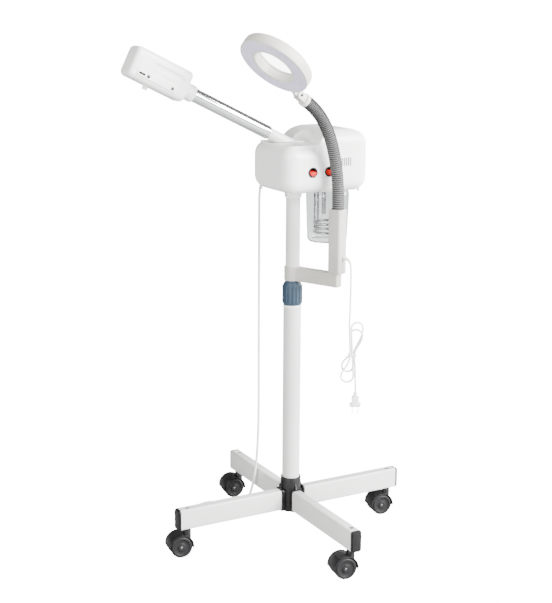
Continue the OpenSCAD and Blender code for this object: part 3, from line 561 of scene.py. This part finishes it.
def makeStudio(facts):
    toolStart()
    bpy.ops.mesh.primitive_plane_add(size=facts["floor"], location=(0, 0, 0))
    floor = bpy.context.object
    floor.name = "studioFloor"
    material, tree, shader, place = newMaterial("mattePaperWhite", Roughness=0.9)
    fibre = addNode(tree, "ShaderNodeTexNoise", {"Scale": 40, "Detail": 3.0}, {"Vector": (place, "Object")})
    addNode(tree, "ShaderNodeValToRGB", {"stops": [(0.2, hexColour("#A8A8A8")), (0.8, hexColour("#B0B0B0"))]},
            {"Fac": (fibre, "Fac")}, {"Color": (shader, "Base Color")})
    shader.inputs["Emission Color"].default_value = grey(1)
    backdropPower(tree, facts, 0.0, shader, "Emission Strength")
    floor.data.materials.append(material)
    world = bpy.data.worlds.new("studioWorld")
    bpy.context.scene.world = world
    world.use_nodes = True
    sky = world.node_tree.nodes["Background"]
    sky.inputs["Color"].default_value = grey(1)
    backdropPower(world.node_tree, facts, facts["sky"], sky, "Strength")
    for name, spot, size, watts in facts["lights"]:
        data = bpy.data.lights.new(name, "AREA")
        data.energy = watts
        data.size = size
        light = bpy.data.objects.new(name, data)
        light.location = spot
        light.rotation_euler = (Vector(facts["aim"]) - Vector(spot)).to_track_quat("-Z", "Y").to_euler()
        bpy.context.scene.collection.objects.link(light)


makeStudio(studio)

# the radius in mm that a moulding tool or a folded tube leaves on each part's edges
edgeRadius = dict(
    enamel=dict(leg_right=0.5, leg_back=0.5, leg_left=0.5, leg_front=0.5, lower_column=0, upper_column=0),
    black=dict(hub=1.0, leg_caps=1.0, switch_bezels=0.7),
    zinc=dict(base_screws=0.4, housing_screws=0.4),
    dark=dict(nozzle_screws=0.2, neck_screw=0.5),
    shell=dict(column_collar=0.7, column_socket=0.8, arm_turret=0.6, jar_collar=0.8),
    lamp=dict(lamp_bracket=2.4, lamp_post=4.5),
    ring=dict(lamp_neck=1.2),
    red=dict(rocker_left=0.6, rocker_right=0.6),
    steel=dict(heater=0),
)
for key, parts in edgeRadius.items():
    for name, width in parts.items():
        roundedNode(name, width, finish[key], 3 if width > 2 else 2)
print("stand and fittings rounded")

for corner in ("right", "back", "left", "front"):
    roundedNode("caster_%s_hood" % corner, 0.9, finish["black"])
    roundedNode("caster_%s_wheels" % corner, 0.7, finish["tread"])
    roundedNode("caster_%s_pins" % corner, 0.3, finish["zinc"])

clampNut = dict(low=547, bore=16.6, thread=18.95, wall=22.7, ribs=16, ribSize=(3.0, 4.6, 40), ribEdge=1.1,
                lip=43, top=55.4)


def makeClampNut(facts):
    z, r, lip, top = facts["low"], facts["wall"], facts["low"] + facts["lip"], facts["low"] + facts["top"]
    nut = turnedPiece("clampNut", [
        (facts["thread"], z), (r - 3.4, z), (r - 2.2, z + 1.5), (r - 1.4, z + 4), (r - 1.4, z + 44),
        (r - 2.4, z + 48), (r - 6.2, z + 54), (r - 6.8, top), (facts["bore"], top), (facts["bore"], lip),
        (facts["thread"], lip)], 96, closed=True)
    parts = [nut]
    rib = boxPiece("nutRib", facts["ribSize"], (r - 1.5, 0, z + 24), facts["ribEdge"], 3)
    for i in range(facts["ribs"]):
        each = copyOf(rib, "nutRib%d" % i)
        putAt(each, turnAbout("Z", i * 360 / facts["ribs"]))
        parts.append(each)
    bpy.data.objects.remove(rib)
    return finished(joined("clampNut", parts), "nut", finish["nut"], ["clamp_nut"])


makeClampNut(clampNut)
print("casters and clamp nut ready")

head = dict(left=-63.5, right=146.5, half=84, low=805, seam=812.05, shoulder=912, corner=30,
            shoulderEdge=27, lowEdge=6,
            domeLow=842, dome=941.5, domeEdge=29, domeInset=0.3, domeLeft=12, domeEnd=50, scoop=39,
            voxel=1.7, smoothing=9,
            switchX=(0, 41), switchZ=853, bezel=9.6,
            slotX=57, slotPitch=5.4, slots=8, slotSize=(2.7, 14, 19), slotZ=871.5, slotEdge=0.9, shadePlateDepth=1.5,
            label=((70, 0.7, 25), (22.5, -84.15, 852)), labelCorner=4,
            stripe=((58, 0.5, 0.9), (22.5, -84.42, 841.8), 0.15, 1))


def roundBlock(name, x0, x1, y, z0, z1, corner, top, bottom=0.0):
    # a box whose upright corners, top edge and bottom edge are each rounded in turn
    piece = boxPiece(name, (x1 - x0, 2 * y, z1 - z0), ((x0 + x1) / 2, 0, (z0 + z1) / 2))
    bevelEdges(piece, lambda a, b: abs(a.z - b.z) > 0.01, corner, 12)
    bevelEdges(piece, lambda a, b: min(a.z, b.z) > z1 * mm - 0.0001, top, 10)
    if bottom:
        bevelEdges(piece, lambda a, b: max(a.z, b.z) < z0 * mm + 0.0001, bottom, 5)
    return piece


def cutSwitchHoles(piece, facts):
    for x in facts["switchX"]:
        spot = (x, -facts["half"], facts["switchZ"])
        cutWith(piece, rodPiece("switchHole", facts["bezel"], 46, spot, (90, 0, 0)))


def makeHead(facts):
    right, inset = facts["right"], facts["domeInset"]
    shell = roundBlock("headShell", facts["left"], right, facts["half"], facts["low"], facts["shoulder"],
                       facts["corner"], facts["shoulderEdge"], facts["lowEdge"])
    dome = roundBlock("headDome", facts["left"], right - inset, facts["half"] - inset, facts["domeLow"],
                      facts["dome"], facts["corner"], facts["domeEdge"])
    ends = boxPiece("domeEnds", (right - facts["domeLeft"] + 0.5, 300, 200),
                    ((right + facts["domeLeft"]) / 2, 0, facts["dome"] - 100))
    bevelEdges(ends, lambda a, b: abs(a.y - b.y) > 0.01 and a.z > 0.9, facts["domeEnd"], 16)
    cutWith(dome, ends, "INTERSECT")
    cutWith(dome, rodPiece("scoop", facts["scoop"], 80, (0, 0, facts["shoulder"] + 40), sides=96))
    # the two bodies only overlap until the remesh melts them into one skin
    shell = joined("headShell", [shell, dome])
    addModifier(shell, "REMESH", mode="VOXEL", voxel_size=facts["voxel"] * mm, adaptivity=0.0)
    addModifier(shell, "SMOOTH", factor=0.5, iterations=facts["smoothing"])
    base = roundedCopy("housing_base")
    cutWith(base, copyOf(shell, "headForm"), "INTERSECT")
    finished(base, "mast", finish["shell"], ["housing_base"], 50)
    cutWith(shell, boxPiece("seamTool", (400, 400, 100), (0, 0, facts["seam"] - 50)))
    for i in range(facts["slots"]):
        cutWith(shell, boxPiece("ventSlot", facts["slotSize"], (
            facts["slotX"] + facts["slotPitch"] * i, -facts["half"], facts["slotZ"]), facts["slotEdge"], 2))
    cutSwitchHoles(shell, facts)
    finished(shell, "mast", finish["shell"], ["housing_shell"], 50)
    reach = (facts["slots"] - 1) * facts["slotPitch"]
    # painted shade: a black plate just behind the vent slots makes them dark, standing in for the shade inside
    # them
    shadePlate = boxPiece("ventShadePlate", (reach + 8, 1.2, 23), (
        facts["slotX"] + reach / 2, -facts["half"] + facts["shadePlateDepth"], facts["slotZ"]), 0.3, 1)
    finished(shadePlate, "mast", finish["black"])
    label = boxPiece("switchPanel", *facts["label"])
    bevelEdges(label, lambda a, b: abs(a.y - b.y) > 0.0003, facts["labelCorner"], 5)
    cutSwitchHoles(label, facts)
    finished(label, "mast", finish["panel"])
    finished(boxPiece("switchPanelStripe", *facts["stripe"]), "mast", finish["print"])


makeHead(head)
print("steamer head ready")

waterJar = dict(x=88, radius=49, bottom=685, rim=822)


def makeWaterJar(facts):
    # up the outside, over the rim and down the inside: one wall, open at the top
    r, b, t = facts["radius"], facts["bottom"], facts["rim"]
    outline = [(0.4, b + 1.5), (r - 14, b + 1.0), (r - 11, b), (r - 8, b + 0.6), (r - 6, b + 2.4),
               (r - 4.6, b + 6), (r - 4.2, b + 10), (r - 0.7, 786), (r - 0.8, 792), (r - 1.8, 797),
               (r - 4.6, 801), (r - 6.8, 804), (r - 6.8, t - 4.6), (r - 6.2, t - 4.2), (r - 3, t - 4.2),
               (r - 2.6, t - 3.6), (r - 2.6, t - 0.5), (r - 3, t), (r - 9.6, t), (r - 10, t - 0.5),
               (r - 10, 803), (r - 8, 799), (r - 4.9, 795), (r - 3.8, 790), (r - 3.7, 786),
               (r - 7.2, b + 12), (r - 7.6, b + 8), (r - 9, b + 5), (r - 12, b + 4), (0.4, b + 5)]
    jar = turnedPiece("waterJar", outline, 96)
    putAt(jar, moveBy(facts["x"], 0, 0))
    return finished(jar, "jar_body", finish["jar"], ["jar"])


makeWaterJar(waterJar)
print("water jar ready")

steamArm = dict(height=902, slope=26, tubeLow=72, tubeHigh=273, tubeRadius=14.6, wall=1)

# places are along the arm, across it and above it; a block is its size, centre, edge radius and edge steps
nozzle = dict(low=293, seam=412, high=427, half=27, under=-28, top=38, sideEdge=13, backEdge=6, capEdge=9,
              seamGap=0.4, collar=18, collarEdge=1.2, bore=14.65,
              recess=((74, 4, 13), (346, 27, 14), 1.9, 4), panel=((70, 4, 17), (353, 26.5, -10), 1.3, 3),
              screws=(327, 385), screwHeight=-12, screwWell=3.7,
              spout=((24, 5, 13), (400, 26.4, -12), 2.3, 4), mouth=((16, 14, 4.6), (400, 28, -12), 1.9, 3),
              throat=((18, 3, 6.6), (400, 22.8, -12), 0.5, 2))


def onArm(facts):
    return moveBy(0, 0, facts["height"]) @ turnAbout("Z", 180) @ turnAbout("Y", -facts["slope"])


def makeArmTube(facts):
    low, high, r = facts["tubeLow"], facts["tubeHigh"], facts["tubeRadius"]
    tube = turnedPiece("armTube", [(r, low), (r, high), (r - facts["wall"], high), (r - facts["wall"], low)],
                       64, closed=True)
    putAt(tube, onArm(facts) @ turnAbout("Y", 90))
    return finished(tube, nodes["arm_tube"]["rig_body"], finish["chrome"], ["arm_tube"], 60)


def makeNozzle(facts, place):
    y, z0, z1 = facts["half"], facts["under"], facts["top"]

    def shaped(name, a, b, edge):
        piece = boxPiece(name, (b - a, 2 * y, z1 - z0), ((a + b) / 2, 0, (z0 + z1) / 2))
        bevelEdges(piece, lambda p, q: abs(p.x - q.x) > 0.005, facts["sideEdge"], 8)
        bevelEdges(piece, lambda p, q: abs(p.x - q.x) < 0.0001 and
                   (p.x > b * mm - 0.0001 if name.endswith("Cap") else p.x < a * mm + 0.0001), edge, 6)
        return piece

    body = shaped("nozzleShell", facts["low"], facts["seam"] - facts["seamGap"], facts["backEdge"])
    collar = rodPiece("nozzleCollar", facts["collar"], 30, (facts["low"] - 9, 0, 0), (0, 90, 0), 72)
    addModifier(collar, "BEVEL", width=facts["collarEdge"] * mm, segments=3, limit_method="ANGLE",
                angle_limit=math.radians(50))
    cutWith(body, collar, "UNION")
    cutWith(body, rodPiece("tubeBore", facts["bore"], 30, (facts["low"] - 15, 0, 0), (0, 90, 0), 72))
    cutWith(body, boxPiece("recessTool", *facts["recess"]))
    cutWith(body, boxPiece("panelTool", *facts["panel"]), "UNION")
    for x in facts["screws"]:
        cutWith(body, rodPiece("screwWell", facts["screwWell"], 6, (x, y + 2.95, facts["screwHeight"]),
                               (90, 0, 0), 32))
    cutWith(body, boxPiece("spoutTool", *facts["spout"]), "UNION")
    cutWith(body, boxPiece("mouthTool", *facts["mouth"]))
    putAt(body, place)
    finished(body, "nozzle", finish["shell"], ["nozzle_body"], 40)
    throat = boxPiece("nozzleThroat", *facts["throat"])
    putAt(throat, place)
    finished(throat, "nozzle", finish["black"])
    cap = shaped("nozzleEndCap", facts["seam"], facts["high"], facts["capEdge"])
    putAt(cap, place)
    finished(cap, "nozzle", finish["shell"], ["nozzle_cap"], 40)
    roundedNode("nozzle_lever", 0.9, finish["shell"])


makeArmTube(steamArm)
makeNozzle(nozzle, onArm(steamArm))
print("nozzle head ready")

# bends are the length and the turn of each stretch of the hose
lampPlace = dict(bracketAngle=-65.5, postDistance=119, lean=194, postTop=774, pivot=(119, 1022.5),
                 bends=[(22, 0), (60, 10), (50, 8), (46, 11), (47, 17.5), (43, 14)],
                 ringTilt=-42.7, pivotBack=-92)


def leanMatrix(facts):
    angle = math.radians(facts["bracketAngle"])
    return (moveBy(facts["postDistance"] * math.cos(angle), facts["postDistance"] * math.sin(angle), 0)
            @ turnAbout("Z", facts["lean"]))


def gooseneckPath(facts, step):
    # points along the hose at equal steps, in the plane that it leans in
    x, z, turn, path = 0.0, facts["postTop"], 0.0, []
    for length, bend in facts["bends"]:
        count = round(length / step)
        for i in range(count):
            path.append(Vector((x, 0, z)) * mm)
            middle = math.radians(turn + bend * (i + 0.5) / count)
            x += length / count * math.sin(middle)
            z += length / count * math.cos(middle)
        turn += bend
    return path + [Vector((x, 0, z)) * mm]


ribbedHose = dict(radius=13.5, pitch=4.8, groove=(0.86, 0.95, 1.0, 1.0, 0.95, 0.86), shaded=(0, 4, 5))


def makeGooseneck(facts, hose):
    shape = hose["groove"]
    path = gooseneckPath(facts, hose["pitch"] / len(shape))
    radii = [shape[i % len(shape)] for i in range(len(path))]
    neck = tubeAlong("gooseneckHose", path, hose["radius"] * mm, radii, 32)
    place = leanMatrix(facts)
    putAt(neck, place)
    finished(neck, None, [finish["hose"], finish["groove"]], ["gooseneck"], 80)
    around = len(neck.data.vertices) // len(path)
    for face in neck.data.polygons:
        # the walls and floor of every groove lie in shadow, so they get the darker paint
        face.material_index = int(min(face.vertices) // around % len(shape) in hose["shaded"])
    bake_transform(neck)


makeGooseneck(lampPlace, ribbedHose)
print("gooseneck ready")

# heights are along the lamp's axis, from its pivot's plane: face towards the skin, back away from it
ringLamp = dict(outer=78, lens=45, face=-6, back=19, lugSize=(17, 8, 15), lugX=-84, lugEdge=6.8,
                lensMiddle=12.5, lensHalf=4.7, lensCurve=300, lensRings=14)


def ringMatrix(facts):
    px, pz = facts["pivot"]
    tilt = math.radians(facts["ringTilt"])
    centre = (px - facts["pivotBack"] * math.cos(tilt), 0, pz + facts["pivotBack"] * math.sin(tilt))
    return leanMatrix(facts) @ moveBy(*centre) @ turnAbout("Y", facts["ringTilt"])


def makeRingLamp(facts, place):
    o, n, f, b = facts["outer"], facts["lens"], facts["face"], facts["back"]
    outline = [(n - 2, f + 0.8), (n - 1.4, f + 0.1), (n - 0.6, f), (n + 2.6, f), (n + 3, f + 0.5), (n + 3, f + 3),
               (o - 3, f + 3), (o - 3, f + 0.5), (o - 2.7, f), (o - 1.8, f), (o - 0.6, f + 0.6), (o, f + 2.0),
               (o, 11), (o - 0.5, 14), (o - 1.8, 16.4), (o - 4.2, 18.2), (o - 8, b), (n + 6, b), (n + 3, b - 0.4),
               (n + 0.8, b - 1.2), (n - 0.8, b - 2.4), (n - 1.2, b - 3.4), (n - 1.2, 14.2), (n + 0.1, 14.2),
               (n + 0.1, 11), (n - 2, 11)]
    shell = turnedPiece("ringLampShell", outline, 128, closed=True)
    lug = boxPiece("ringLug", facts["lugSize"], (facts["lugX"], 0, 0))
    bevelEdges(lug, lambda p, q: abs(p.y - q.y) > 0.001 and p.x < -0.09, facts["lugEdge"], 8)
    shell = joined("ringLampShell", [shell, lug])
    putAt(shell, place)
    finished(shell, "ring", finish["ring"], ["ring_shell", "led_board"], 40)
    sheet = turnedPiece("ringLampDiffuser", [
        (n + 3.1, f + 0.5), (n + 3.5, f + 0.1), (o - 3.5, f + 0.1), (o - 3.1, f + 0.5), (o - 3.1, f + 2.8),
        (n + 3.1, f + 2.8)], 128, closed=True)
    putAt(sheet, place)
    finished(sheet, "ring", finish["opal"], ["ring_diffuser"], 40)
    # the lens is two equal domes, each a cap of a large ball
    rings, middle, curve = facts["lensRings"], facts["lensMiddle"], facts["lensCurve"]
    upper = [(max(n * i / rings, 0.3),
              middle + facts["lensHalf"] - curve + math.sqrt(curve ** 2 - (n * i / rings) ** 2))
             for i in range(rings + 1)]
    lower = [(r, 2 * middle - z) for r, z in reversed(upper)]
    glass = turnedPiece("ringLampLens", upper + lower, 96)
    putAt(glass, place)
    finished(glass, "ring", finish["lens"], ["ring_lens"], 60)


makeRingLamp(ringLamp, ringMatrix(lampPlace))
print("ring lamp ready")

postSign = dict(inner=2.2, outer=3.1, depth=0.5, ringPlace=(113, -14.9, 726),
                dash=((8, 0.5, 1.3), (114, -15.15, 713.4), 0.2, 1))


def makePostSign(facts, angle):
    # a small moulded ring and a dash under it, on the outer face of the post
    place = turnAbout("Z", angle)
    inner, outer, depth = facts["inner"], facts["outer"], facts["depth"]
    ring = turnedPiece("postSign", [(inner, 0), (outer, 0), (outer, depth), (inner, depth)], 32, closed=True)
    putAt(ring, place @ moveBy(*facts["ringPlace"]) @ turnAbout("X", 90))
    dash = boxPiece("postDash", *facts["dash"])
    putAt(dash, place)
    return finished(joined("postSign", [ring, dash]), "bracket", finish["print"])


makePostSign(postSign, lampPlace["bracketAngle"])
print("post sign ready")
